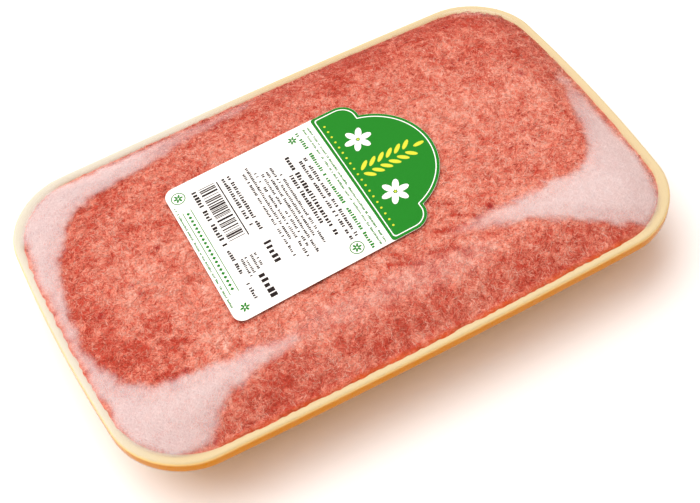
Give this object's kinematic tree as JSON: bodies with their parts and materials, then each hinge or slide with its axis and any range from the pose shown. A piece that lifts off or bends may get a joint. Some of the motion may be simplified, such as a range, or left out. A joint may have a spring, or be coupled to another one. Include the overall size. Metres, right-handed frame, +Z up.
{
  "type": "meat tray pack",
  "caption": "Shallow foam tray of fine mince, overwrapped in clear stretch film that is drawn over a domed top, with a die-cut paper label.",
  "frame": {"origin": "middle of the underside of the pack, on the surface it lies on", "axes": "+X along the pack towards the label's round head, +Y across the pack, +Z up"},
  "size_m": [0.225, 0.141, 0.0362],
  "materials": {
    "foam": "fine-celled cream foam, satin",
    "meat": "fresh pink mince, moist",
    "film": "clear stretch film, glossy",
    "label": "white paper with green and black print"
  },
  "bodies": {
    "root": {"tray": "foam", "mince": "meat", "film": "film", "label": "label"}
  },
  "joints": []
}
